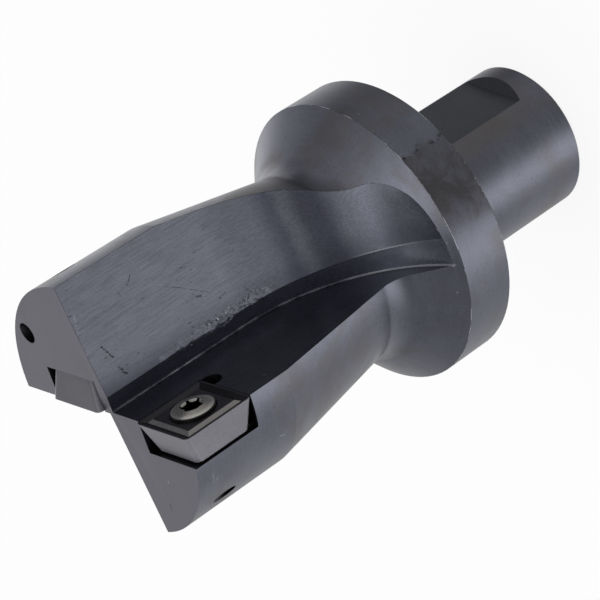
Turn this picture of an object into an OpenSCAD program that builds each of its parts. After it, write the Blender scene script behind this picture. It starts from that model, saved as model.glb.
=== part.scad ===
// Indexable drill for flat-bottomed holes in metal: a turned body with a clamping shank, a flange and
// a two-fluted head, and two square inserts that are screwed into pockets at the tip.
// The axis is Z, from the end of the shank up to the tip, and the outer insert lies along +X.

/* [Shank] */
// Diameter of the clamping shank
shank_d = 32; // [25:0.1:40]
// Length of the shank, from its end to the back of the flange
shank_length = 37.8; // [30:0.1:60]
// Chamfer round the end of the shank
shank_chamfer = 0.6; // [0.2:0.1:2]
// Depth of the clamping flat below the round of the shank
flat_depth = 2; // [0.5:0.1:3.5]
// Direction that the flat faces, counted from the outer insert
flat_angle = 80; // [0:1:359]
// Distance from the end of the shank to the slope that leads down to the flat
flat_setback = 5; // [2:0.1:8]
// Distance from the flat's other slope to the back of the flange
flat_clearance = 5; // [2:0.1:8]
// Angle of the slopes at the flat's ends
flat_slope = 45; // [30:1:60]

/* [Flange] */
// Diameter of the flange
flange_d = 61.7; // [58:0.1:80]
// Height of the flange's rim
flange_thickness = 11.3; // [6:0.1:20]
// Slope of the flange's front cone against its rim
flange_slope = 42; // [20:1:60]
// Bevel on the edges of the rim
flange_bevel = 0.4; // [0.1:0.1:1]
// Radius of the fillet between the neck and the front cone
neck_fillet = 6; // [3:0.1:9]

/* [Head] */
// Diameter that the drill cuts
drill_d = 54; // [50:0.1:58]
// Depth that the drill cuts, from the rim of the flange to the tip
drill_depth = 68; // [60:0.5:100]
// Gap between the cut wall and the head
wall_gap = 0.65; // [0.3:0.05:1]
// Gap between the cut bottom and the front of the head
bottom_gap = 1.3; // [0.8:0.05:2]
// Length of the head's straight part
head_length = 24.3; // [20:0.1:30]
// Slope of the neck against the axis, as it narrows towards the flange
neck_slope = 9.8; // [5:0.1:11]

/* [Flutes] */
// Angle between the wall and the floor of a flute
flute_angle = 100.2; // [95:0.1:110]
// Distance from the axis to the foot of a flute's wall
web = 3; // [2.6:0.1:5]
// Distance from the axis to the plane of a flute's wall
wall_offset = 3.6; // [3.5:0.1:6]
// Height of the outer flute's floor above the plane through the axis
outer_rake = 0.35; // [0:0.05:0.8]
// Height of the inner flute's floor above the plane through the axis
inner_rake = 0.05; // [0:0.05:0.8]
// Radius of the curve on which the flutes run out at the flange
runout_r = 33.5; // [28:0.5:45]
// Height of the lowest point of the run-out above the rim of the flange
runout_height = 0.45; // [0.2:0.05:2]
// Reach of the inner flute past the axis at the tip
relief = 1.9; // [1:0.1:2]
// Length of that relief, from the front of the head
relief_length = 22.5; // [20:0.5:30]
// Radius of the cutter that ends the relief
relief_r = 8; // [6:0.5:12]

/* [Inserts] */
// Edge length of the square inserts
insert_edge = 15.875; // [12:0.005:16]
// Thickness of the inserts
insert_thickness = 6.35; // [4:0.01:7]
// Clearance angle of the inserts' flanks
insert_clearance = 15; // [7:1:15]
// Radius of the inserts' corners
insert_nose = 1.2; // [0.8:0.1:1.6]
// Width of the flat land behind a cutting edge
land = 0.5; // [0.5:0.05:0.8]
// Width of the chip groove's outer slope
groove_outer = 1.1; // [0.6:0.1:1.3]
// Width of the chip groove's inner slope
groove_inner = 0.8; // [0.4:0.1:0.9]
// Depth of the chip groove
groove_depth = 0.5; // [0.2:0.05:0.8]
// Distance of the outer insert's front edge behind the tip
outer_setback = 0.6; // [0:0.05:0.8]
// Reach of the inner insert past the axis
centre_reach = 0.25; // [0.1:0.05:0.8]
// Depth of the inner insert's top below the inner flute's floor
centre_drop = 0.3; // [0:0.05:0.5]
// Diameter of the relief hole in the back wall of a pocket
pocket_hole_d = 4.4; // [2:0.1:5]
// Distance from the pocket's inner wall to the middle of that hole
pocket_hole_shift = 2.45; // [1:0.05:4]
// Distance from the pocket's back wall to the middle of that hole
pocket_hole_back = 0.7; // [0:0.05:1]
// Depth of the step that clears the outer insert along its two open edges
seat_step = 0.6; // [0.3:0.1:1]
// Width of that step under the insert
seat_step_width = 3; // [2.5:0.1:4]
// Gap between an insert and the walls of its pocket
seat_gap = 0.05; // [0.02:0.01:0.2]

/* [Screws] */
// Thread diameter of the insert screws
screw_d = 5; // [4:0.1:5.2]
// Length of an insert screw, from the top of the insert to its end
screw_length = 13; // [10:0.5:14]
// Diameter of the screw head
screw_head_d = 9; // [7.5:0.1:9.4]
// Full cone angle under the screw head
screw_cone = 60; // [50:1:90]
// Height of the screw head's round band, half of it above the insert
head_band = 0.9; // [0.4:0.1:1.2]
// Rise of the screw head's domed top above its round band
head_crown = 0.8; // [0.3:0.05:1]
// Diameter over the six lobes of the driver recess
recess_d = 4.5; // [3.5:0.1:5]
// Depth of the driver recess
recess_depth = 2.2; // [1:0.1:3]
// Bevel round the mouth of the driver recess
recess_bevel = 0.3; // [0.1:0.05:0.4]
// Turn of the driver recess, as the screw was tightened
recess_turn = 15; // [0:1:59]
// Diameter of the plain hole through an insert
insert_hole_d = 5.5; // [5.3:0.1:6]
// Free depth of the tapped hole past the end of the screw
tapped_spare = 1.5; // [0.5:0.1:2]

/* [Coolant] */
// Diameter of the inlet bore in the end of the shank
inlet_d = 9; // [6:0.1:12]
// Depth of the inlet bore
inlet_depth = 56; // [45:0.5:58]
// Diameter of the outlet in the front of the head
front_outlet_d = 4.2; // [3:0.1:4.4]
// Distance of the front outlet from the axis
front_outlet_r = 22.7; // [20:0.1:23]
// Direction of the front outlet, counted from the outer insert
front_outlet_angle = 143.4; // [138:0.1:150]
// Diameter of the outlets in the side of the head
side_outlet_d = 2.5; // [2:0.1:3.2]
// Distance of the side outlets below the tip
side_outlet_depth = 8.5; // [6:0.1:14]
// Direction of the side outlet in the land behind the outer insert
outer_outlet_angle = -43.5; // [-50:0.1:-38]
// Direction of the side outlet in the land behind the inner insert
inner_outlet_angle = 110.4; // [106:0.1:122]

/* [Hidden] */
$fn = 96;

body_colour = [0.20, 0.21, 0.24];
insert_colour = [0.30, 0.30, 0.33];
screw_colour = [0.62, 0.61, 0.60];

shank_r = shank_d / 2;
flange_r = flange_d / 2;
cut_r = drill_d / 2;
head_r = cut_r - wall_gap;

// Heights along the axis
rim_z = shank_length + flange_thickness;
tip_z = rim_z + drill_depth;
front_z = tip_z - bottom_gap;
neck_top_z = front_z - head_length;

// A length that reaches past the whole drill from any point on it
past = tip_z;

// Where the neck's cone meets the flange's front cone
neck_rate = tan(neck_slope);
flange_rate = tan(flange_slope);
neck_foot_r = head_r - neck_rate * (neck_top_z - rim_z);
corner_height = (flange_r - neck_foot_r) / (neck_rate + 1 / flange_rate);
corner = [neck_foot_r + neck_rate * corner_height, rim_z + corner_height];

// The fillet in that corner touches both cones, and takes no more than this share of the flange's cone
fillet_limit = 0.9;
corner_angle = 90 + flange_slope - neck_slope;
cone_length = corner_height / sin(flange_slope);
fillet_run = min(neck_fillet / tan(corner_angle / 2), cone_length * fillet_limit);
fillet_r = fillet_run * tan(corner_angle / 2);
along_neck = [sin(neck_slope), cos(neck_slope)];
along_flange = [cos(flange_slope), -sin(flange_slope)];
out_of_neck = [cos(neck_slope), -sin(neck_slope)];
neck_touch = corner + fillet_run * along_neck;
flange_touch = corner + fillet_run * along_flange;
fillet_centre = neck_touch + fillet_r * out_of_neck;

// The fillet bites this share of its radius past the cones, so that the surfaces cross cleanly
bite = 0.0005;

// Flutes
wall_tilt = flute_angle - 90;
runout_z = rim_z + runout_height + runout_r;

// Inserts: the height of an insert's centre and its distance from the axis
outer_x = cut_r - insert_edge / 2;
outer_z = tip_z - outer_setback - insert_edge / 2;
inner_x = insert_edge / 2 - centre_reach;
inner_z = tip_z - insert_edge / 2;
flank_draw = insert_thickness * tan(insert_clearance);
groove_edge = insert_edge - 2 * land;
groove_foot = groove_edge - 2 * groove_outer;
plateau_edge = groove_foot - 2 * groove_inner;

// Thickness of the layers that span an insert's drawn-in form
layer = 0.003;

// A four-sided cone's radius for each unit of its edge
corner_share = sqrt(2) / 2;

// Screws
screw_r = screw_d / 2;
screw_head_r = screw_head_d / 2;
band_top = head_band / 2;
cone_top = -head_band / 2;
cone_height = (screw_head_r - screw_r) / tan(screw_cone / 2);
head_top = band_top + head_crown;
crown_r = (screw_head_r * screw_head_r + head_crown * head_crown) / (2 * head_crown);
recess_lobe_r = recess_d / 2;
mouth_z = head_top - crown_r + sqrt(crown_r * crown_r - recess_lobe_r * recess_lobe_r);

// The driver recess has six lobes, with round ridges between them in these shares of its diameter
lobes = 6;
ridge_r = recess_d * 0.21;
ridge_centre = recess_d * 0.565;

// Coolant
inlet_r = inlet_d / 2;
drill_point = 118;
point_height = inlet_r / tan(drill_point / 2);
side_outlet_z = tip_z - side_outlet_depth;

// The half section that the body is turned to
module body_section() {
    difference() {
        polygon([
            [0, 0],
            [shank_r - shank_chamfer, 0],
            [shank_r, shank_chamfer],
            [shank_r, shank_length],
            [flange_r - flange_bevel, shank_length],
            [flange_r, shank_length + flange_bevel],
            [flange_r, rim_z],
            flange_touch,
            neck_touch,
            [head_r, neck_top_z],
            [head_r, front_z],
            [0, front_z]
        ]);
        translate(fillet_centre) circle(r = fillet_r * (1 + bite));
    }
}

// The body as it is turned. Its round faces start and end in the mouth of the outer flute.
module turned_body() {
    rotate([0, 0, wall_tilt]) rotate_extrude() body_section();
}

// The clamping flat, with a slope at each end
module shank_flat() {
    over = flat_clearance / 2;
    slope_run = flat_depth / tan(flat_slope);
    over_run = over / tan(flat_slope);
    low = flat_setback + slope_run;
    high = shank_length - flat_clearance - slope_run;
    rotate([0, 0, flat_angle])
        translate([shank_r - flat_depth, past, 0])
            rotate([90, 0, 0])
                linear_extrude(2 * past)
                    polygon([
                        [0, low],
                        [flat_depth + over, flat_setback - over_run],
                        [flat_depth + over, shank_length - flat_clearance + over_run],
                        [0, high]
                    ]);
}

// A milled path seen across the flute: straight down from the tip, then out along the run-out
module path_outline(start) {
    translate([start + runout_r, runout_z]) circle(r = runout_r);
    translate([start, runout_z]) square([past, past]);
}

// The path of that flute's relief: straight down from the tip, then out on the cutter's radius
module relief_outline() {
    foot_z = front_z - relief_length;
    translate([relief_r - relief, foot_z + relief_r]) circle(r = relief_r);
    translate([-relief, foot_z + relief_r]) square([past, past]);
}

// An outline in radius and height becomes a cut that runs across the flute
module across() {
    translate([0, past, 0])
        rotate([90, 0, 0])
            linear_extrude(2 * past) children();
}

// Everything on the open side of a flute's floor
module above_floor(rake) {
    translate([-past, rake, 0]) cube([2 * past, past, 2 * past]);
}

// A flute along +X: a pass square to the floor and a tilted pass that opens the wall
module flute(rake) {
    intersection() {
        above_floor(rake);
        union() {
            across() path_outline(web);
            rotate([0, 0, wall_tilt]) across() path_outline(wall_offset);
        }
    }
}

// The cut that takes the inner flute past the axis at the tip
module inner_relief() {
    intersection() {
        above_floor(inner_rake);
        rotate([0, 0, wall_tilt]) across() relief_outline();
    }
}

// Sets an insert's own frame, with its top at height 0 and its back towards the shank, in a flute along +X
module on_floor(x, rake, z) {
    translate([x, rake, z]) rotate([-90, 0, 0]) children();
}

module at_outer_seat() {
    on_floor(outer_x, outer_rake, outer_z) children();
}

module at_inner_seat() {
    rotate([0, 0, 180]) on_floor(inner_x, inner_rake - centre_drop, inner_z) children();
}

// The pocket of an insert, open to the cut wall and the cut bottom, with its tapped hole.
// outward is how far the pocket runs on past the insert's far edge.
module pocket(outward) {
    half = insert_edge / 2 + seat_gap;
    hole_x = pocket_hole_shift - half;
    hole_y = half + pocket_hole_back;
    tapped_depth = screw_length + tapped_spare;
    translate([-half, -past, -insert_thickness])
        cube([2 * half + outward, past + half, past]);
    translate([hole_x, hole_y, -insert_thickness]) cylinder(h = past, d = pocket_hole_d);
    translate([0, 0, -tapped_depth]) cylinder(h = tapped_depth, r = screw_r + seat_gap);
}

// The step in the floor of the outer pocket, along the cut bottom and along the cut wall
module seat_relief() {
    half = insert_edge / 2;
    step_start = half - seat_step_width;
    translate([-half, -past, -insert_thickness - seat_step]) cube([past, past - step_start, past]);
    translate([step_start, -past, -insert_thickness - seat_step]) cube([past, past + half, past]);
}

// A straight passage from the end of the inlet bore to an outlet
module passage(angle, radius, height, d) {
    rise = height - inlet_depth;
    run = sqrt(rise * rise + radius * radius);
    lean = atan2(radius, rise);
    translate([0, 0, inlet_depth])
        rotate([-lean, 0, angle - 90])
            cylinder(h = run + 2 * d, d = d);
}

// The half section of the inlet bore with its drilled point
module inlet_section() {
    polygon([
        [0, -past],
        [inlet_r, -past],
        [inlet_r, inlet_depth],
        [0, inlet_depth + point_height]
    ]);
}

// The inlet bore, and the passages from it to the outlets
module coolant_passages() {
    rotate_extrude() inlet_section();
    passage(front_outlet_angle, front_outlet_r, front_z, front_outlet_d);
    passage(outer_outlet_angle, head_r, side_outlet_z, side_outlet_d);
    passage(inner_outlet_angle, head_r, side_outlet_z, side_outlet_d);
}

module drill_body() {
    color(body_colour)
        difference() {
            turned_body();
            shank_flat();
            flute(outer_rake);
            rotate([0, 0, 180]) flute(inner_rake);
            rotate([0, 0, 180]) inner_relief();
            at_outer_seat() pocket(past);
            at_outer_seat() seat_relief();
            at_inner_seat() pocket(0);
            coolant_passages();
        }
}

// A square frustum with its top edge at height 0
module square_cone(top_edge, foot_edge, depth) {
    translate([0, 0, -depth])
        rotate([0, 0, 45])
            cylinder(h = depth, r1 = foot_edge * corner_share, r2 = top_edge * corner_share, $fn = 4);
}

// One layer of the insert's rounded square outline
module insert_layer(edge, height) {
    reach = edge / 2 - insert_nose;
    for (x = [-reach, reach], y = [-reach, reach])
        translate([x, y, height]) cylinder(h = layer, r = insert_nose, $fn = 32);
}

// An insert with flat faces: the square that cuts, drawn in towards its foot
module insert_blank() {
    hull() {
        insert_layer(insert_edge, -layer);
        insert_layer(insert_edge - 2 * flank_draw, -insert_thickness);
    }
}

// The chip groove: down from the land behind the cutting edge, then up to the plateau
module chip_groove() {
    lift = groove_depth;
    outer_rate = (groove_edge - groove_foot) / groove_depth;
    inner_rate = (groove_foot - plateau_edge) / groove_depth;
    difference() {
        translate([0, 0, lift])
            square_cone(groove_edge + outer_rate * lift, groove_foot, groove_depth + lift);
        translate([0, 0, lift])
            square_cone(plateau_edge - inner_rate * lift, groove_foot, groove_depth + lift);
    }
}

// The half section of a screw with a flat head, grown all round by a gap
module screw_section(gap, length) {
    polygon([
        [0, -length],
        [screw_r + gap, -length],
        [screw_r + gap, cone_top - cone_height],
        [screw_head_r + gap, cone_top],
        [screw_head_r + gap, head_top],
        [0, head_top]
    ]);
}

// What the dome leaves of that section: a round top, and all that lies below the head's band
module crown_section() {
    translate([0, head_top - crown_r]) circle(r = crown_r);
    translate([0, cone_top - past]) square([past, past]);
}

module insert() {
    difference() {
        insert_blank();
        chip_groove();
        translate([0, 0, -past]) cylinder(h = 2 * past, d = insert_hole_d);
        rotate_extrude() screw_section(seat_gap, insert_thickness);
    }
}

// The recess for the driver, with a bevelled mouth
module driver_recess() {
    translate([0, 0, mouth_z - recess_depth])
        linear_extrude(past)
            difference() {
                circle(r = recess_lobe_r);
                for (ridge = [1:lobes])
                    rotate(recess_turn + ridge * 360 / lobes)
                        translate([ridge_centre, 0]) circle(r = ridge_r);
            }
    translate([0, 0, mouth_z - recess_bevel])
        cylinder(h = 2 * recess_bevel, r1 = recess_lobe_r - recess_bevel, r2 = recess_lobe_r + recess_bevel);
}

module insert_screw() {
    difference() {
        rotate_extrude()
            intersection() {
                screw_section(0, screw_length);
                crown_section();
            }
        driver_recess();
    }
}

module outer_insert() { color(insert_colour) at_outer_seat() insert(); }

module inner_insert() { color(insert_colour) at_inner_seat() insert(); }

module outer_screw() { color(screw_colour) at_outer_seat() insert_screw(); }

module inner_screw() { color(screw_colour) at_inner_seat() insert_screw(); }

drill_body();
outer_insert();
inner_insert();
outer_screw();
inner_screw();
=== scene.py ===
import math

import bmesh
import bpy
from mathutils import Matrix, Vector, noise


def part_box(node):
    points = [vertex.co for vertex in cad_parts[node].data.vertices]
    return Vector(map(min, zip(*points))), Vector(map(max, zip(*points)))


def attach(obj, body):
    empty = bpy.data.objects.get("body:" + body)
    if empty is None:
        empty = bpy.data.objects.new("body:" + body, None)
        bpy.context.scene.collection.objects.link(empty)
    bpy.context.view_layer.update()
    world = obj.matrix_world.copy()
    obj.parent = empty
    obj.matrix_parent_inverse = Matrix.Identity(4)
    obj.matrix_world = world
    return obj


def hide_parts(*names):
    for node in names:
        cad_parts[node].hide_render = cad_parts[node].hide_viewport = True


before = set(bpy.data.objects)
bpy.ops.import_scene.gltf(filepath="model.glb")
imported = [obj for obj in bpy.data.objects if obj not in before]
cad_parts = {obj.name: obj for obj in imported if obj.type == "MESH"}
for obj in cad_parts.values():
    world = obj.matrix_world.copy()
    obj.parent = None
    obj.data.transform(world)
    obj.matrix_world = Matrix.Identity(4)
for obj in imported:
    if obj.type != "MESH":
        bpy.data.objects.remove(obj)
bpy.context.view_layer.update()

# Sizes that the looks follow, as the solids have them
MM = 0.001
SHANK_R = 16.0 * MM
SHANK_END = 37.8 * MM
FLANGE_R = 30.85 * MM
RIM_Z = 49.1 * MM
CONE_RATE = math.tan(math.radians(42))
HEAD_R = 26.35 * MM
NECK_TOP_Z = 91.5 * MM
NECK_RATE = math.tan(math.radians(9.8))
FILLET_R = 6.0 * MM
FRONT_Z = 115.8 * MM
FLAT_OFFSET = 14.0 * MM
FLAT_ANGLE = math.radians(80)
FLAT_NORMAL = Vector((math.cos(FLAT_ANGLE), math.sin(FLAT_ANGLE), 0))
RUNOUT_R = 33.5 * MM
RUNOUT_Z = 83.05 * MM

# A flute's wall and the strip at its foot. WALL_FOOT is how far up the wall the foot lies, FOOT_RATE how fast
# that drops as the wall moves out, and RAKES the floor's height in the outer (1) and the inner (-1) flute
WALL_TILT = math.radians(10.2)
WALL_NORMAL = Vector((math.cos(WALL_TILT), math.sin(WALL_TILT), 0))
WALL_UP = Vector((-math.sin(WALL_TILT), math.cos(WALL_TILT), 0))
WALL_OFFSET = 3.6 * MM
WEB = 3.0 * MM
WALL_FOOT = (WALL_OFFSET * math.cos(WALL_TILT) - WEB) / math.sin(WALL_TILT)
FOOT_RATE = math.tan(WALL_TILT / 2)
RAKES = {1: 0.35 * MM, -1: 0.05 * MM}

# How near a face lies to the surface that it belongs to, and how far its normal may be off
NEAR = 0.3 * MM
SKEW = 0.04

# Bounds that tell faces apart: a flute's lowest place, the strip's top, where the inner flute's relief is,
# how far from an insert's middle its outer slopes lie, and the space that holds a screw's driver recess
FLUTE_LOW = -1.0 * MM
STRIP_TOP = 7.5 * MM
RELIEF_Z = 90.0 * MM
SLOPE_FROM = 5.0 * MM
RECESS_R = 2.4 * MM
RECESS_DEPTH = 3.0 * MM

# Widths of the broken edges, the corner below the strip and an insert's honed edge
EDGE_WIDTH = 0.24 * MM
CORNER_WIDTH = 0.38 * MM
HONE_WIDTH = 0.07 * MM

# The burr along the outer wall's foot: its stretch, its rows, and its places above and below the foot
BURR_TOP = 104.0 * MM
BURR_LOW = 73.0 * MM
BURR_ROWS = 480
BURR_PROFILE = (1.5, 1.1, 0.75, 0.45, 0.2, 0.0, -0.2, -0.45)

# The camera of the photograph: its place, the way back from the drill, and the picture's upward direction
CAMERA_PLACE = Vector((0.34629, 0.18291, 0.29138))
CAMERA_BACK = Vector((0.7648, 0.4112, 0.4961))
CAMERA_UP = Vector((-0.1524, 0.8635, -0.4808))
CAMERA_LENS = 137.65

# What mirror-like rays see of the studio: an even base level, and soft areas that are brighter or darker,
# given by azimuth, elevation, spread (degrees) and strength
STUDIO_BASE = 0.40
STUDIO_LIGHTS = [
    (-24, -65, 12, 0.52),
    (-24, -50, 12, 0.65),
    (-24, -35, 12, 0.68),
    (-25, -20, 12, 0.66),
    (-29, -5, 12, 0.55),
    (-36, 8, 11, 0.35),
    (-7, 6, 11, 0.27),
    (-12, 46, 9, -0.27),
    (-26, 60, 8, -0.30),
    (66, 62, 9, 0.25),
    (163, 20, 9, 0.22),
    (14, -30, 10, -0.07),
    (-90, -35, 32, 0.40),
    (32, 66, 15, 1.45),
    (-80, 76, 11, 0.62),
    (-140, 58, 9, 0.42),
    (100, 48, 14, 0.25),
    (-176, -14, 17, 0.82),
    (75, -42, 22, 0.14),
    (108, -2, 16, 0.26),
    (-155, 24, 14, 0.42),
    (132, -36, 14, -0.18),
    (140, 4, 11, -0.10),
]

# The level that lights matt surfaces, half the floor's size, and how far the camera sees the floor as white
MATT_LIGHT = 1.15
FLOOR_HALF = 3.0
FLOOR_WHITE = 0.88

# Painted reflection bands along a flute's run-out, chosen after the photo: height in mm and tone.
# A tone of 0.5 leaves the steel as it is
RUNOUT_REFLECTION_BANDS = [
    (51.0, 0.85),
    (53.5, 0.51),
    (56.0, 0.63),
    (58.6, 0.60),
    (61.5, 0.36),
    (63.8, 0.38),
    (66.4, 0.60),
    (68.7, 0.37),
    (72.5, 0.51),
]

# How a stained film tints the steel's colour
FILM_TINT = (0.92, 0.83, 0.70)

# Marks seen in the photo: start, end, width in mm and strength.
# A place on the outer flute's wall is how far up the wall it lies, and its height
WALL_SCRATCHES = [
    ((20.6, 100.6), (19.15, 102.2), 0.14, 0.9),
    ((16.85, 91.1), (16.35, 89.4), 0.12, 0.8),
    ((15.8, 96.1), (13.25, 92.0), 0.09, 0.6),
    ((13.25, 92.0), (9.55, 87.0), 0.10, 0.6),
    ((10.1, 89.7), (9.8, 88.9), 0.35, 0.7),
    ((7.35, 85.5), (7.6, 84.3), 0.25, 0.6),
    ((11.85, 112.3), (9.0, 111.1), 0.30, 1.0),
    ((6.8, 110.9), (5.9, 110.4), 0.30, 1.0),
    ((5.6, 110.6), (4.9, 109.9), 0.26, 1.0),
]
WALL_SCORES = [
    ((11.15, 59.0), (11.05, 55.7), 0.12, 0.16),
    ((9.3, 59.4), (9.0, 56.0), 0.12, 0.18),
    ((3.0, 56.9), (1.2, 54.7), 0.60, 0.20),
    ((19.6, 114.6), (16.5, 115.4), 0.16, 0.5),
]
# A place on the floor of the outer flute is its X and its height, one on the front its X and Y
FLOOR_SPECKS = [
    ((23.1, 94.9), (23.35, 94.1), 0.22, 0.5),
    ((23.7, 92.9), (23.7, 92.9), 0.25, 0.5),
    ((25.15, 91.6), (25.15, 91.6), 0.25, 0.5),
]
FRONT_TICKS = [((13.9, -12.0), (13.75, -12.75), 0.20, 1.0)]
FRONT_DENTS = [((11.45, -17.6), (11.2, -19.25), 0.22, 0.9)]
# A place on a turned surface is its angle in degrees and its height
TURNED_DUST = [
    ((9.8, 50.1), (9.8, 50.1), 0.30, 0.8),
    ((-10.9, 50.7), (-10.9, 50.7), 0.30, 0.8),
    ((46.2, 48.5), (46.2, 48.5), 0.30, 0.5),
    ((70.7, 47.0), (69.9, 47.1), 0.30, 0.4),
    ((-15.2, 115.75), (-15.2, 115.75), 0.30, 0.9),
    ((-22.5, 112.3), (-28.7, 112.1), 0.22, 0.5),
    ((-25.5, 111.2), (-27.5, 111.4), 0.22, 0.5),
    ((-27.6, 95.7), (-28.6, 94.4), 0.24, 0.6),
]


def mm(*lengths):
    """Lengths in mm, as metres."""
    return [length * MM for length in lengths]


def radians(*angles):
    """Angles in degrees, as radians."""
    return [math.radians(angle) for angle in angles]


def direction(azimuth, elevation):
    """The unit vector at an azimuth and an elevation in degrees."""
    a, e = radians(azimuth, elevation)
    return Vector((math.cos(a) * math.cos(e), math.sin(a) * math.cos(e), math.sin(e)))


def runout(z):
    """How far a flute's wall has moved out at a height, on its run-out."""
    drop = max(RUNOUT_Z - z, 0.0)
    return RUNOUT_R - math.sqrt(max(RUNOUT_R ** 2 - drop ** 2, 0.0))


def runout_slope(z):
    """The outward and the upward share of a wall's normal at a height."""
    rise = min(max(RUNOUT_Z - z, 0.0) / RUNOUT_R, 1.0)
    return math.sqrt(1 - rise * rise), rise


def turned_radius(z):
    """The radius that the body was turned to at a height, without its fillet."""
    if z < SHANK_END - 0.01 * MM:
        return SHANK_R
    if z < RIM_Z + 0.01 * MM:
        return FLANGE_R
    return max(FLANGE_R - (z - RIM_Z) / CONE_RATE, HEAD_R - NECK_RATE * max(NECK_TOP_Z - z, 0.0))


def fillet_centre():
    """The centre of the fillet between flange and neck, in radius and height."""
    slope, lean = math.atan(CONE_RATE), math.atan(NECK_RATE)
    foot = HEAD_R - NECK_RATE * (NECK_TOP_Z - RIM_Z)
    rise = (FLANGE_R - foot) / (NECK_RATE + 1 / CONE_RATE)
    run = FILLET_R / math.tan((math.pi / 2 + slope - lean) / 2)
    touch_r = foot + NECK_RATE * rise + run * math.sin(lean)
    touch_z = RIM_Z + rise + run * math.cos(lean)
    return touch_r + FILLET_R * math.cos(lean), touch_z - FILLET_R * math.sin(lean)


FILLET_CENTRE = fillet_centre()


def on_wall(up, z):
    """A place on the wall of the outer flute."""
    return WALL_NORMAL * (WALL_OFFSET + runout(z * MM)) + WALL_UP * (up * MM) + Vector((0, 0, z * MM))


def on_floor(x, z):
    """A place on the floor of the outer flute."""
    return Vector((x * MM, RAKES[1], z * MM))


def on_front(x, y):
    """A place on the front."""
    return Vector((x * MM, y * MM, FRONT_Z))


def on_turned(angle, z):
    """A place on a turned surface."""
    a = math.radians(angle)
    radius = turned_radius(z * MM)
    return Vector((radius * math.cos(a), radius * math.sin(a), z * MM))


def placed(marks, surface):
    """Marks with their places on a surface worked out."""
    return [(surface(*start), surface(*end), width, strength) for start, end, width, strength in marks]


class Nodes:
    """Short calls for a node tree: most make nodes and return the socket that they give."""

    def __init__(self, tree):
        self.tree = tree
        tree.nodes.clear()

    def new(self, kind, **settings):
        node = self.tree.nodes.new(kind)
        for name, value in settings.items():
            setattr(node, name, value)
        return node

    def put(self, value, socket):
        if isinstance(value, bpy.types.NodeSocket):
            self.tree.links.new(value, socket)
        else:
            socket.default_value = value

    def math(self, operation, *values, clamp=False):
        node = self.new("ShaderNodeMath", operation=operation, use_clamp=clamp)
        for value, socket in zip(values, node.inputs):
            self.put(value, socket)
        return node.outputs[0]

    def add(self, *values):
        total = values[0]
        for value in values[1:]:
            total = self.math("ADD", total, value)
        return total

    def times(self, *values):
        total = values[0]
        for value in values[1:]:
            total = self.math("MULTIPLY", total, value)
        return total

    def less(self, value, taken):
        return self.math("SUBTRACT", value, taken)

    def swing(self, value, amount):
        """A texture value about its middle, as a change of plus or minus amount."""
        return self.times(self.less(value, 0.5), 2 * amount)

    def vector(self, operation, *values):
        node = self.new("ShaderNodeVectorMath", operation=operation)
        for value, socket in zip(values, node.inputs):
            self.put(value, socket)
        return node.outputs["Value" if operation in ("DOT_PRODUCT", "LENGTH", "DISTANCE") else "Vector"]

    def scaled(self, vector, factor):
        node = self.new("ShaderNodeVectorMath", operation="SCALE")
        self.put(vector, node.inputs[0])
        self.put(factor, node.inputs["Scale"])
        return node.outputs["Vector"]

    def ramp(self, value, low, high, to_low=0.0, to_high=1.0):
        node = self.new("ShaderNodeMapRange", clamp=True, interpolation_type="SMOOTHSTEP")
        for v, socket in zip((value, low, high, to_low, to_high), node.inputs):
            self.put(v, socket)
        return node.outputs[0]

    def window(self, value, start, full, fade, end):
        """1 where a value lies between full and fade, and 0 before start and past end."""
        return self.times(self.ramp(value, start, full), self.ramp(value, end, fade))

    def noise(self, place, scale, detail=2.0, roughness=0.5, distortion=0.0):
        node = self.new("ShaderNodeTexNoise")
        self.put(place, node.inputs["Vector"])
        node.inputs["Scale"].default_value = scale
        node.inputs["Detail"].default_value = detail
        node.inputs["Roughness"].default_value = roughness
        node.inputs["Distortion"].default_value = distortion
        return node.outputs["Fac"]

    def stain(self, base, colour, *shares):
        """A base colour with another laid over it, by the product of the shares."""
        node = self.new("ShaderNodeMix", data_type="RGBA")
        self.put(self.times(*shares), node.inputs["Factor"])
        self.put(base, node.inputs["A"])
        self.put((*colour, 1), node.inputs["B"])
        return node.outputs["Result"]

    def bands(self, value, tones):
        """A grey that goes from tone to tone as a value goes from stop to stop, bluer where it is dark."""
        first, last = tones[0][0], tones[-1][0]
        node = self.new("ShaderNodeValToRGB")
        node.color_ramp.interpolation = "EASE"
        self.put(self.math("DIVIDE", self.less(value, first), last - first), node.inputs[0])
        stops = node.color_ramp.elements
        for at, tone in tones:
            if at in (first, last):
                stop = stops[0 if at == first else -1]
            else:
                stop = stops.new((at - first) / (last - first))
            stop.color = (tone, tone, tone + 0.25 * max(0.5 - tone, 0.0), 1)
        return node.outputs["Color"]

    def along(self, place, axis):
        """One coordinate of a place."""
        node = self.new("ShaderNodeSeparateXYZ")
        self.put(place, node.inputs[0])
        return node.outputs[axis]

    def height(self, place):
        return self.along(place, 2)

    def line(self, place, start, end, width):
        """How near a place is to the straight line from start to end, 1 on it and 0 past its width."""
        along = end - start
        offset = self.vector("SUBTRACT", place, start)
        if along.length < 1e-6:
            gap = self.vector("LENGTH", offset)
        else:
            reach = self.vector("DOT_PRODUCT", offset, along)
            share = self.math("DIVIDE", reach, along.length_squared, clamp=True)
            gap = self.vector("DISTANCE", offset, self.scaled(along, share))
        return self.ramp(gap, width * MM, 0.3 * width * MM)


def new_paint(name):
    """An empty material, with its node tree and the place that it is seen at."""
    paint = bpy.data.materials.new(name)
    paint.use_nodes = True
    n = Nodes(paint.node_tree)
    return paint, n, n.new("ShaderNodeNewGeometry").outputs["Position"]


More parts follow.
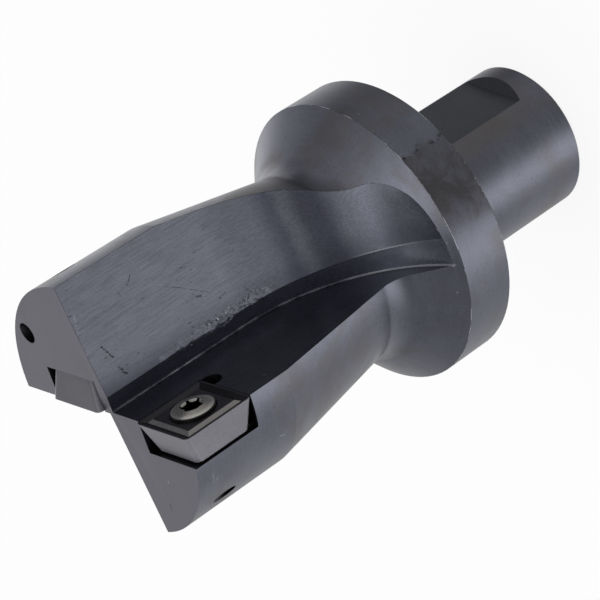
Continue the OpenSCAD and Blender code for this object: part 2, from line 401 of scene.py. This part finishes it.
def make_camera():
    back = CAMERA_BACK.normalized()
    right = CAMERA_UP.cross(back).normalized()
    up = back.cross(right)
    turn = Matrix((right, up, back)).transposed().to_4x4()
    data = bpy.data.cameras.new("camera")
    data.lens = CAMERA_LENS
    camera = bpy.data.objects.new("camera", data)
    camera.matrix_world = Matrix.Translation(CAMERA_PLACE) @ turn
    bpy.context.scene.collection.objects.link(camera)
    bpy.context.scene.camera = camera


def make_studio():
    """The surroundings: soft areas for mirror-like rays, white for the camera, one level for matt faces."""
    world = bpy.data.worlds.new("studio")
    bpy.context.scene.world = world
    world.use_nodes = True
    n = Nodes(world.node_tree)
    looking = n.new("ShaderNodeTexCoord").outputs["Generated"]
    level = STUDIO_BASE
    for azimuth, elevation, spread, strength in STUDIO_LIGHTS:
        sharpness = 1 / math.radians(spread) ** 2
        facing = n.vector("DOT_PRODUCT", looking, direction(azimuth, elevation))
        falloff = n.math("EXPONENT", n.times(n.less(facing, 1.0), sharpness))
        level = n.add(n.times(falloff, strength), level)
    path = n.new("ShaderNodeLightPath")
    level = n.times(level, path.outputs["Is Glossy Ray"])
    level = n.add(level, path.outputs["Is Camera Ray"])
    level = n.add(level, n.times(path.outputs["Is Diffuse Ray"], MATT_LIGHT))
    shine = n.new("ShaderNodeBackground")
    n.put(level, shine.inputs["Strength"])
    out = n.new("ShaderNodeOutputWorld")
    n.put(shine.outputs[0], out.inputs["Surface"])


def make_floor():
    """The pale ground that the drill stands on. Mirror-like rays don't see it."""
    near, far = -FLOOR_HALF, FLOOR_HALF
    mesh = bpy.data.meshes.new("floor")
    mesh.from_pydata([(near, near, 0), (far, near, 0), (far, far, 0), (near, far, 0)], [], [(0, 1, 2, 3)])
    floor = bpy.data.objects.new("floor", mesh)
    bpy.context.scene.collection.objects.link(floor)
    floor.visible_glossy = False
    paint = bpy.data.materials.new("pale_floor")
    paint.use_nodes = True
    n = Nodes(paint.node_tree)
    matt = n.new("ShaderNodeBsdfDiffuse")
    matt.inputs["Color"].default_value = (0.95, 0.95, 0.95, 1)
    glow = n.new("ShaderNodeEmission")
    mixed = n.new("ShaderNodeMixShader")
    n.put(n.times(n.new("ShaderNodeLightPath").outputs["Is Camera Ray"], FLOOR_WHITE), mixed.inputs[0])
    n.put(matt.outputs[0], mixed.inputs[1])
    n.put(glow.outputs[0], mixed.inputs[2])
    out = n.new("ShaderNodeOutputMaterial")
    n.put(mixed.outputs[0], out.inputs["Surface"])
    mesh.materials.append(paint)


def metal(n, base, rough, height, depth, shine=1.0):
    """The end of every metal's node tree: colour, roughness, a fine relief and how far it mirrors."""
    bump = n.new("ShaderNodeBump")
    bump.inputs["Strength"].default_value = 1.0
    bump.inputs["Distance"].default_value = depth
    n.put(height, bump.inputs["Height"])
    shader = n.new("ShaderNodeBsdfPrincipled")
    shader.inputs["Metallic"].default_value = shine
    n.put(base, shader.inputs["Base Color"])
    n.put(rough, shader.inputs["Roughness"])
    n.put(bump.outputs[0], shader.inputs["Normal"])
    out = n.new("ShaderNodeOutputMaterial")
    n.put(shader.outputs[0], out.inputs["Surface"])


def pitted(n, place, base, height, amount):
    """Small dark pits, in patches."""
    spots = n.noise(n.vector("MULTIPLY", place, (1, 1, 0.5)), 1900, 2.0, 0.5)
    patchy = n.ramp(n.noise(place, 170, 2.0, 0.5), 0.46, 0.66)
    pit = n.times(n.ramp(spots, 0.66, 0.72), patchy, amount)
    return n.stain(base, (0.03, 0.03, 0.035), pit), n.less(height, n.times(pit, 3.0))


def marked(n, place, base, height, dark_marks, bright_marks):
    """Single marks with ragged edges: dark ones are sunk and bright ones are raised."""
    ragged = n.ramp(n.noise(place, 3300, 2.0, 0.6), 0.44, 0.54)
    for marks, shade, lift in ((dark_marks, 0.030, -5.0), (bright_marks, 0.46, 3.0)):
        for start, end, width, strength in marks:
            mark = n.times(n.line(place, start, end, width), ragged, strength)
            base = n.stain(base, (shade, shade, shade * 1.04), mark)
            height = n.add(height, n.times(mark, lift))
    return base, height


def steel(name, colour, roughness, run=(1, 1, 1), lines=0.08, fine=1700, depth=0.004, cloud=0.10, film=0.0,
          pits=0.0, dark_marks=(), bright_marks=(), extra=None, shine=1.0):
    """Metal with grain along the direction in which run is small, clouds, a stained film, pits and marks."""
    paint, n, place = new_paint(name)
    grain = n.noise(n.vector("MULTIPLY", place, run), fine, 3.0, 0.65)
    speckle = n.noise(place, 3600, 2.0, 0.7)
    clouds = n.noise(place, 120, 4.0, 0.6)
    tone = n.add(n.swing(grain, lines), n.swing(speckle, 0.30), n.swing(clouds, cloud), 1.0)
    base = n.scaled(Vector(colour), tone)
    height = n.add(grain, n.times(speckle, 0.5), n.times(clouds, 0.8))
    rough = n.add(n.swing(grain, 0.05), n.swing(clouds, 0.07), roughness)
    if film:
        stained = n.ramp(n.noise(place, 75, 5.0, 0.6, 0.6), 0.46, 0.64)
        base = n.stain(base, [c * tint for c, tint in zip(colour, FILM_TINT)], stained, film)
        rough = n.add(rough, n.times(stained, 0.10 * film))
    if pits:
        base, height = pitted(n, place, base, height, pits)
    if dark_marks or bright_marks:
        base, height = marked(n, place, base, height, dark_marks, bright_marks)
    if extra:
        base, height = extra(n, place, base, height)
    metal(n, base, rough, height, depth * MM, shine)
    return paint


def worn_edge(name, colour, bare, low, high, roughness=0.34, extra=None):
    """A narrow edge: its own colour where the noise lies below low, and bare metal where it is above high."""
    paint, n, place = new_paint(name)
    patches = n.noise(place, 210, 4.0, 0.62)
    chips = n.noise(place, 1600, 3.0, 0.6)
    share = n.ramp(n.add(n.times(patches, 0.7), n.times(chips, 0.3)), low, high)
    base = n.stain((*colour, 1), bare, share)
    if extra:
        base = extra(n, place, base)
    metal(n, base, n.add(n.swing(chips, 0.12), roughness), chips, 0.010 * MM)
    return paint


def wall_lift(n, place):
    """How far a flute's wall has moved out at a place, on its run-out, as a node."""
    drop = n.math("MAXIMUM", n.less(RUNOUT_Z, n.height(place)), 0.0)
    rest = n.less(RUNOUT_R ** 2, n.times(drop, drop))
    return n.less(RUNOUT_R, n.math("SQRT", n.math("MAXIMUM", rest, 0.0)))


def wall_wear_and_painted_light(n, place, base, height):
    """Painted shade and a painted highlight line at a wall's foot, painted reflection bands on its run-out,
    and torn metal in the outer flute.
    """
    z = n.height(place)
    side = n.math("SIGN", n.vector("DOT_PRODUCT", place, WALL_NORMAL))
    up = n.times(n.vector("DOT_PRODUCT", place, WALL_UP), side)
    rise = n.less(up, n.less(WALL_FOOT, n.times(wall_lift(n, place), FOOT_RATE)))
    wander = n.swing(n.noise(place, 260, 3.0, 0.6), 1.6 * MM)
    ragged_rise = n.add(rise, wander)
    near = n.ramp(ragged_rise, *mm(2.4, 0.5))
    torn = n.times(near, n.window(z, *mm(72, 79, 96, 101)), n.math("MAXIMUM", side, 0.0))
    curl = n.math("ABSOLUTE", n.less(n.noise(place, 470, 2.0, 0.6, 1.8), 0.5))
    curls = n.times(n.ramp(curl, 0.026, 0.008), torn)
    crumbs = n.times(n.ramp(n.noise(place, 1250, 3.0, 0.6), 0.56, 0.66), torn)
    haze = n.times(n.ramp(n.noise(place, 420, 3.0, 0.6), 0.44, 0.66), torn)
    # painted shade on the wall above its foot
    base = n.stain(base, (0.085, 0.090, 0.122), n.ramp(ragged_rise, *mm(5.5, 0.8), 0.0, 0.38))
    base = n.stain(base, (0.27, 0.275, 0.30), haze, 0.45)
    base = n.stain(base, (0.035, 0.035, 0.04), crumbs, 0.75)
    base = n.stain(base, (0.62, 0.63, 0.68), curls, 0.95)
    ragged_height = n.math("DIVIDE", n.add(z, n.times(wander, 0.6)), MM)
    # painted reflection: bands of lighter and darker tone along the run-out
    base = n.scaled(n.vector("MULTIPLY", base, n.bands(ragged_height, RUNOUT_REFLECTION_BANDS)), 2.0)
    # a painted highlight along the wall's foot, near the flange
    foot_highlight = n.times(n.ramp(rise, *mm(0.34, 0.10)), n.ramp(z, *mm(61, 56)))
    base = n.stain(base, (0.54, 0.55, 0.58), foot_highlight, 0.7)
    return base, n.add(height, n.times(curls, 4.0), n.times(crumbs, -5.0))


def oily_flange_and_shade(n, place, z, angle, base):
    """An oily stretch on the flange's rim, painted darker in a mottle, part oil stain and part painted shade,
    and the dark ragged line at one end of it.
    """
    rim = n.window(z, SHANK_END - 0.2 * MM, SHANK_END + 0.1 * MM, RIM_Z - 0.1 * MM, RIM_Z + 0.2 * MM)
    stretch = n.window(angle, *radians(9, 15, 43, 46.5))
    mottled = n.ramp(n.noise(place, 170, 4.0, 0.65, 0.8), 0.36, 0.62, 0.22, 0.70)
    # painted shade mixed with the oily mottle over a stretch of angle
    base = n.stain(base, (0.085, 0.080, 0.080), stretch, rim, mottled)
    off_end = n.math("ABSOLUTE", n.less(angle, math.radians(44.5)))
    ragged = n.ramp(n.noise(place, 420, 3.0, 0.6), 0.42, 0.60)
    return n.stain(base, (0.025, 0.025, 0.028), n.ramp(off_end, *radians(1.26, 0.23)), rim, ragged, 0.8)


def shank_cast_and_shade(n, place, z, angle, base):
    """A warm cast on the shank, and painted shade beside it."""
    shank = n.window(z, *mm(1, 14), SHANK_END - 0.2 * MM, SHANK_END)
    warm = n.window(angle, *radians(28.6, 43, 48.7, 63))
    base = n.stain(base, (0.165, 0.150, 0.140), warm, shank, 0.55)
    # painted shade on the shank towards the flat
    return n.stain(base, (0.08, 0.085, 0.10), n.ramp(angle, *radians(74.5, 91.7)), shank, 0.5)


def shaded_fillet(n, place, z, angle, base):
    """Painted shade in the fillet below the flange."""
    crease = n.window(z, *mm(57, 59.5, 61.5, 64.5))
    smear = n.window(angle, *radians(50.4, 58.4, 80.2, 89.4))
    return n.stain(base, (0.066, 0.070, 0.084), crease, smear, 0.62)


def handling_stains_and_shade(n, place, base, height):
    """Stains of handling and painted shade, each within its own stretch of height and of angle round the
    axis.
    """
    z = n.height(place)
    angle = n.math("ARCTAN2", n.along(place, 1), n.along(place, 0))
    angle = n.add(angle, n.swing(n.noise(place, 240, 3.0, 0.5), 0.07))
    for stained in (oily_flange_and_shade, shank_cast_and_shade, shaded_fillet):
        base = stained(n, place, z, angle, base)
    return base, height


def strip_end_reflection(n, place, base, height):
    """The strip is painted lighter towards the flange: painted reflection."""
    wander = n.swing(n.noise(place, 300, 3.0, 0.6), 2.5 * MM)
    share = n.ramp(n.add(n.height(place), wander), *mm(60, 51), 0.0, 0.90)
    return n.stain(base, (0.34, 0.36, 0.43), share), height


def strip_corner_highlight(n, place, base):
    """The corner below the strip is painted brighter towards the flange: a painted highlight."""
    return n.stain(base, (0.50, 0.51, 0.56), n.ramp(n.height(place), *mm(66, 54), 0.0, 0.55))


def shaded_run(n, place, base, height):
    """The floor of a flute is darker towards its run-out."""
    share = n.ramp(n.height(place), *mm(74, 54), 0.0, 0.6)
    return n.stain(base, (0.050, 0.052, 0.064), share), height


def shaded_end(n, place, base, height):
    """The flat is darker towards the slope at its end."""
    share = n.ramp(n.height(place), *mm(11, 6.5), 0.0, 0.5)
    return n.stain(base, (0.045, 0.047, 0.055), share), height


def painted_seat_shade(axis_x, axis_z):
    """Painted shade for a screw's head about its axis: a darker middle and a painted shadow ring in the gap
    at the rim.
    """

    def ring(n, place, base, height):
        off = n.vector("SUBTRACT", place, (axis_x, 0, axis_z))
        away = n.vector("LENGTH", n.vector("MULTIPLY", off, (1, 0, 1)))
        # painted shade: the middle of the head darker
        base = n.stain(base, (0.20, 0.19, 0.175), n.ramp(away, *mm(3.9, 3.2), 0.0, 0.45))
        # painted shadow: a dark ring in the gap at the rim
        return n.stain(base, (0.030, 0.028, 0.027), n.ramp(away, *mm(4.10, 4.34))), height

    return ring


def wall_gap(place, turn):
    """Distance from a place to the wall of the outer flute, or of the inner one where turn is -1."""
    return turn * place.dot(WALL_NORMAL) - WALL_OFFSET - runout(place.z)


def flat_zone(centre, normal):
    """The finish of a face that belongs to the clamping flat, or None."""
    cut = math.hypot(centre.x, centre.y) < SHANK_R - 0.1 * MM
    if centre.z < SHANK_END and cut and centre.dot(FLAT_NORMAL) > 0.8 * FLAT_OFFSET:
        if normal.dot(FLAT_NORMAL) > 0.95:
            return "flat"
        if normal.dot(FLAT_NORMAL) > 0.4 and abs(normal.z) > 0.4:
            return "flat_end"
    return None


def flute_zone(centre, normal, turn):
    """The finish of a face that belongs to the outer flute, or to the inner one where turn is -1, or None."""
    x, y = centre.x * turn, centre.y * turn
    out, up = normal.x * turn, normal.y * turn
    if centre.z < RIM_Z or y < FLUTE_LOW:
        return None
    if abs(normal.dot(WALL_UP)) < SKEW and out > 0.05:
        gap = wall_gap(centre, turn)
        if abs(gap) < NEAR:
            return "wall"
        if turn < 0 and centre.z > RELIEF_Z and gap < 0:
            return "relief"
    if abs(up) < SKEW and out > 0.05 and abs(x - WEB - runout(centre.z)) < NEAR and y < STRIP_TOP:
        return "strip"
    if up > 0.99 and abs(y - RAKES[turn]) < 0.2 * MM:
        return "floor"
    return None


def round_zone(centre, normal):
    """The finish of a face that was turned or faced, or None."""
    if normal.z > 0.99 and centre.z > FRONT_Z - 0.1 * MM:
        return "front"
    radius = math.hypot(centre.x, centre.y)
    sideways = abs(normal.y * centre.x - normal.x * centre.y) / max(radius, 1e-9)
    outside = sideways < 0.06 and radius > turned_radius(centre.z) - 0.4 * MM
    faced_back = normal.z < -0.99 and centre.z < RIM_Z
    return "turned" if outside or faced_back else None


def body_zone(centre, normal):
    """The finish that a face of the body was left with."""
    flute = flute_zone(centre, normal, 1) or flute_zone(centre, normal, -1)
    return flat_zone(centre, normal) or flute or round_zone(centre, normal) or "bore"


def edge_zone(centre):
    """The kind of edge that a narrow bevel lies on."""
    radius = math.hypot(centre.x, centre.y)
    if centre.z < RIM_Z + 0.6 * MM and abs(radius - FLANGE_R) < 0.7 * MM:
        return "rim_edge"
    if centre.z > RIM_Z and min(abs(wall_gap(centre, turn)) for turn in (1, -1)) < 0.4 * MM:
        return "flute_edge"
    return "edge"


def insert_zone(normal, away, side):
    """The finish of an insert's face, by its normal and its place from the insert's middle."""
    up = normal.y * side
    if up > 0.97:
        return "top"
    if up < 0.3:
        return "corner" if min(normal.x * side, normal.z) > 0.12 else "flank"
    if normal.x * side > 0.3 and away.x * side > SLOPE_FROM:
        return "side_slope"
    if normal.z > 0.3 and away.z > SLOPE_FROM:
        return "end_slope"
    return "slope_painted_shade"


def true_normal(zone, face, place):
    """The normal of a cut surface at a place on it, or None where the mesh's own normals do."""
    if zone == "turned":
        radial = Vector((place.x, place.y, 0)).normalized()
        off_r = FILLET_CENTRE[0] - math.hypot(place.x, place.y)
        off_z = FILLET_CENTRE[1] - place.z
        if place.z > RIM_Z + 2 * MM and abs(math.hypot(off_r, off_z) - FILLET_R) < 0.02 * MM:
            return (radial * off_r + Vector((0, 0, off_z))).normalized()
        centre = face.calc_center_median()
        out = Vector((centre.x, centre.y, 0)).normalized()
        return (radial * face.normal.dot(out) + Vector((0, 0, face.normal.z))).normalized()
    if zone in ("wall", "strip"):
        side = 1 if face.calc_center_median().dot(WALL_NORMAL) > 0 else -1
        out, rise = runout_slope(place.z)
        tilt = WALL_TILT if zone == "wall" else 0.0
        return Vector((side * out * math.cos(tilt), side * out * math.sin(tilt), rise))
    if zone in ("floor", "front", "flat", "flat_end"):
        return face.normal.copy()
    return None


def clean_copy(node):
    """A node's mesh as a workable one: joined corners and whole flat faces."""
    bm = bmesh.new()
    bm.from_mesh(node.data)
    bmesh.ops.remove_doubles(bm, verts=bm.verts, dist=0.004 * MM)
    bmesh.ops.dissolve_degenerate(bm, edges=bm.edges, dist=0.002 * MM)
    bmesh.ops.dissolve_limit(bm, angle_limit=math.radians(0.4), verts=bm.verts, edges=bm.edges)
    bm.normal_update()
    return bm


def sharp_edges(bm, convex, angle=25):
    """The edges of a mesh that turn by more than an angle, outward or inward."""
    found = []
    for edge in bm.edges:
        if len(edge.link_faces) == 2:
            turn = edge.calc_face_angle_signed(0.0)
            if (turn if convex else -turn) > math.radians(angle):
                found.append(edge)
    return found


def zones_beside(edge, order):
    """The finishes of the faces beside an edge."""
    return {order[face.material_index] for face in edge.link_faces}


def bevel(bm, edges, width, segments):
    return bmesh.ops.bevel(bm, geom=edges, offset=width, offset_type="OFFSET", segments=segments, profile=0.5,
                           affect="EDGES", clamp_overlap=True, material=-1)["faces"]


def blended_normals(bm, limit, exact=None, edge_kinds=()):
    """A normal for each corner of each face: the exact one where it is known, else a blend of near faces."""
    bm.verts.index_update()
    bm.faces.index_update()
    known, around = {}, {}
    for face in bm.faces:
        for vert in face.verts:
            normal = exact(face, vert.co) if exact else None
            if normal is not None:
                known[face.index, vert.index] = normal
                around.setdefault(vert.index, []).append(normal)
    cos_limit = math.cos(math.radians(limit))
    normals = []
    for face in bm.faces:
        for vert in face.verts:
            normal = known.get((face.index, vert.index))
            if normal is None and face.material_index in edge_kinds and vert.index in around:
                normal = sum(around[vert.index], Vector()).normalized()
            if normal is None:
                near = [f for f in vert.link_faces if f.normal.dot(face.normal) > cos_limit]
                normal = sum((f.normal * f.calc_area() for f in near), Vector())
                normal = normal.normalized() if normal.length > 0 else face.normal
            normals.append(normal)
    return normals


def finish_piece(name, bm, finishes, replaced=None, limit=30, exact=None, edge_kinds=()):
    """A mesh becomes a piece of the drill, with its finishes in order and smooth shading."""
    normals = blended_normals(bm, limit, exact, edge_kinds)
    mesh = bpy.data.meshes.new(name)
    bm.to_mesh(mesh)
    bm.free()
    for leftover in [a.name for a in mesh.attributes if a.name == "custom_normal"]:
        mesh.attributes.remove(mesh.attributes[leftover])
    mesh.shade_smooth()
    mesh.normals_split_custom_set(normals)
    for finish in finishes:
        mesh.materials.append(finish)
    piece = bpy.data.objects.new(name, mesh)
    bpy.context.scene.collection.objects.link(piece)
    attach(piece, "root")
    if replaced:
        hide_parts(replaced)


def body_finishes():
    """A finish for each way that the body's faces and edges were cut."""
    wall = {"colour": (0.180, 0.188, 0.228), "roughness": 0.23, "run": (1, 1, 0.07), "lines": 0.42,
            "fine": 2900, "depth": 0.005, "cloud": 0.12}
    channel = {"run": (1, 1, 0.05), "lines": 0.25, "depth": 0.006, "cloud": 0.16}
    return {
        "turned": steel("turned_steel", (0.175, 0.182, 0.221), 0.28, run=(0.1, 0.1, 1), lines=0.10,
                        cloud=0.24, film=0.55, pits=0.30, bright_marks=placed(TURNED_DUST, on_turned),
                        extra=handling_stains_and_shade),
        "front": steel("faced_steel", (0.180, 0.178, 0.211), 0.31, cloud=0.12, film=0.15, pits=0.10,
                       dark_marks=placed(FRONT_DENTS, on_front), bright_marks=placed(FRONT_TICKS, on_front)),
        "wall": steel("milled_wall", **wall, pits=0.7, dark_marks=placed(WALL_SCRATCHES, on_wall),
                      bright_marks=placed(WALL_SCORES, on_wall), extra=wall_wear_and_painted_light),
        "relief": steel("milled_relief", **wall),
        "strip": steel("milled_strip", (0.132, 0.139, 0.180), 0.27, **channel, extra=strip_end_reflection),
        "floor": steel("milled_floor", (0.122, 0.124, 0.148), 0.28, **channel,
                       bright_marks=placed(FLOOR_SPECKS, on_floor), extra=shaded_run),
        "flat": steel("milled_flat", (0.118, 0.125, 0.146), 0.33, run=(1, 1, 0.2), lines=0.10,
                      extra=shaded_end),
        # the slope at the flat's end is painted dark as painted shade
        "flat_end": steel("flat_end_painted_shade", (0.062, 0.064, 0.074), 0.36, lines=0.10),
        # bores, pockets and holes are painted dark as painted shade
        "bore": steel("bore_painted_shade", (0.050, 0.051, 0.060), 0.42, depth=0.006),
        "rim_edge": worn_edge("worn_rim", (0.060, 0.062, 0.073), (0.80, 0.81, 0.84), low=0.48, high=0.58),
        "flute_edge": worn_edge("deburred_edge", (0.022, 0.022, 0.027), (0.50, 0.50, 0.53), low=0.575,
                                high=0.63, roughness=0.40),
        "edge": worn_edge("broken_edge", (0.16, 0.163, 0.19), (0.36, 0.36, 0.39), low=0.54, high=0.66),
        "corner": worn_edge("cut_corner", (0.060, 0.064, 0.082), (0.19, 0.20, 0.23), low=0.42, high=0.60,
                            roughness=0.48, extra=strip_corner_highlight),
    }


def dress_body():
    """The body's own faces with broken edges, and a finish for each way that they were cut."""
    finishes = body_finishes()
    order = list(finishes)
    bm = clean_copy(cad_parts["drill_body"])
    for face in bm.faces:
        face.material_index = order.index(body_zone(face.calc_center_median(), face.normal))
    inner = sharp_edges(bm, convex=False)
    corners = [edge for edge in inner if zones_beside(edge, order) == {"strip", "floor"}]
    for face in bevel(bm, corners, CORNER_WIDTH, 3):
        face.material_index = order.index("corner")
    bm.normal_update()
    plain = {"bore", "flat", "flat_end", "corner"}
    broken = [edge for edge in sharp_edges(bm, convex=True) if not zones_beside(edge, order) & plain]
    for face in bevel(bm, broken, EDGE_WIDTH, 2):
        face.material_index = order.index(edge_zone(face.calc_center_median()))
    bm.normal_update()

    def exact(face, place):
        return true_normal(order[face.material_index], face, place)

    edge_kinds = {order.index(kind) for kind in ("rim_edge", "flute_edge", "edge", "corner")}
    finish_piece("drill_body_finish", bm, finishes.values(), "drill_body", 30, exact,
                 edge_kinds)


def fractal(x, y, z, fall):
    """Ragged noise about zero."""
    return noise.fractal(Vector((x, y, z)), fall, 2.1, 4)


def burr_row(bm, share):
    """One row of the burr, across the wall's foot, at a share of the burr's length."""
    z = BURR_TOP + (BURR_LOW - BURR_TOP) * share
    out, rise = runout_slope(z)
    wall_normal = Vector((out * math.cos(WALL_TILT), out * math.sin(WALL_TILT), rise))
    strip_normal = Vector((out, 0, rise))
    foot_x = WEB + runout(z)
    foot_y = (WALL_OFFSET + runout(z) - math.cos(WALL_TILT) * foot_x) / math.sin(WALL_TILT)
    foot = Vector((foot_x, foot_y, z))
    # The burr fades in and out at its ends, and its height and reach change along it
    fade = max(min((share - 0.02) / 0.25, 1.0, (0.97 - share) / 0.22), 0.0)
    ragged = max(0.55 + 0.8 * fractal(z * 260, 3.1, 0.0, 0.9), 0.0) * fade
    reach = 0.45 + max(0.5 + fractal(z * 230, 9.4, 0.0, 0.7), 0.0)
    row = []
    for s in BURR_PROFILE:
        lump = max(0.45 + 0.9 * fractal(z * 640, s * 1.3, 5.2, 0.7), 0.0)
        body = max(1 - abs(s) / BURR_PROFILE[0], 0.0) ** 1.3
        sunk = 0.04 if abs(s) > 1.2 or s < -0.3 else 0.01
        lift = (0.50 * lump * body * ragged - sunk) * MM
        if s >= 0:
            place = foot + WALL_UP * (s * reach * MM) + wall_normal * lift
        else:
            sag = s * (0.25 + 1.5 * ragged) * MM
            place = foot + Vector((0, sag, 0)) + strip_normal * lift
        row.append(bm.verts.new(place))
    return row


def dress_burr():
    """The ragged burr that the cutter left along the foot of the outer flute's wall."""
    bm = bmesh.new()
    rows = [burr_row(bm, i / BURR_ROWS) for i in range(BURR_ROWS + 1)]
    for near, far in zip(rows, rows[1:]):
        for k in range(len(BURR_PROFILE) - 1):
            bm.faces.new((near[k], near[k + 1], far[k + 1], far[k]))
    bm.normal_update()
    if next(iter(bm.faces)).normal.x < 0:
        bmesh.ops.reverse_faces(bm, faces=bm.faces)
    bm.normal_update()
    torn = steel("torn_steel", (0.245, 0.256, 0.310), 0.30, run=(1, 1, 0.4), lines=0.45, depth=0.014,
                 cloud=0.70, pits=1.0)
    finish_piece("wall_burr", bm, [torn], None, 60)


def dress_inserts():
    """The inserts: a coated top, slopes of the chip groove painted as painted highlight, painted reflection
    and painted shade by how they face, ground flanks with a painted highlight on their rounded corners, and
    honed edges.
    """
    top = steel("coated_top", (0.125, 0.120, 0.131), 0.26, lines=0.10, depth=0.003, cloud=0.18)
    # the chip groove's slopes are one coating, painted lighter or darker by how they face: painted highlight,
    # painted reflection and painted shade
    side_slope = steel("side_slope_painted_highlight", (0.335, 0.320, 0.312), 0.30, lines=0.14, cloud=0.30)
    end_slope = steel("end_slope_painted_reflection", (0.215, 0.206, 0.215), 0.30, lines=0.14, cloud=0.30)
    slope_painted_shade = steel("slope_painted_shade", (0.052, 0.050, 0.055), 0.34, lines=0.10, depth=0.003, cloud=0.18)
    hone = worn_edge("honed_edge", (0.12, 0.12, 0.125), (0.24, 0.24, 0.25), low=0.50, high=0.62,
                     roughness=0.32)
    # the rounded corners of the flanks get a painted highlight, stronger on the inner insert
    for name, side, tone, round_highlight in (("outer_insert", 1, 0.95, 1.2), ("inner_insert", -1, 0.61, 2.6)):
        ground = Vector((0.238, 0.234, 0.265)) * tone
        finishes = {
            "flank": steel("ground_" + name, ground, 0.42, lines=0.10, depth=0.002, cloud=0.24, pits=0.3,
                           shine=0.5),
            "top": top,
            "side_slope": side_slope,
            "end_slope": end_slope,
            "slope_painted_shade": slope_painted_shade,
            "hone": hone,
            "corner": steel("round_" + name, ground * round_highlight, 0.34, depth=0.002, cloud=0.20, shine=0.5),
        }
        order = list(finishes)
        bm = clean_copy(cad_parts[name])
        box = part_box(name)
        middle = (box[0] + box[1]) / 2
        for face in bm.faces:
            away = face.calc_center_median() - middle
            face.material_index = order.index(insert_zone(face.normal, away, side))
        cutting = ({"flank", "top"}, {"corner", "top"})
        sharp = sharp_edges(bm, convex=True, angle=40)
        edges = [edge for edge in sharp if zones_beside(edge, order) in cutting]
        for face in bevel(bm, edges, HONE_WIDTH, 2):
            face.material_index = order.index("hone")
        bm.normal_update()
        finish_piece(name + "_finish", bm, finishes.values(), name, 14)


def dress_screws():
    """The screws: bright heads with painted shade, a painted shadow ring at the seat, and a driver recess
    painted dark as painted shade.
    """
    # the driver recess is painted near black as painted shade
    socket = steel("recess_painted_shade", (0.013, 0.012, 0.012), 0.40, lines=0.05)
    for name, side in (("outer_screw", 1), ("inner_screw", -1)):
        bm = clean_copy(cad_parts[name])
        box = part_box(name)
        axis_x, axis_z = (box[0][0] + box[1][0]) / 2, (box[0][2] + box[1][2]) / 2
        top_y = box[1][1] if side > 0 else box[0][1]
        bright = steel("bright_" + name, (0.66, 0.632, 0.585), 0.22, lines=0.14, depth=0.003, cloud=0.36,
                       extra=painted_seat_shade(axis_x, axis_z), shine=0.93)
        finishes = {"head": bright, "recess": socket}
        order = list(finishes)
        for face in bm.faces:
            centre = face.calc_center_median()
            away = math.hypot(centre.x - axis_x, centre.z - axis_z)
            below = abs(centre.y - top_y)
            steep = abs(face.normal.y) < 0.5
            bottom = face.normal.y * side > 0.99 and below > 1 * MM
            inside = away < RECESS_R and below < RECESS_DEPTH
            face.material_index = order.index("recess" if inside and (steep or bottom) else "head")
        finish_piece(name + "_finish", bm, finishes.values(), name, 25)


bpy.context.scene.view_settings.view_transform = "Standard"
make_camera()
make_studio()
make_floor()
dress_body()
dress_burr()
dress_inserts()
dress_screws()
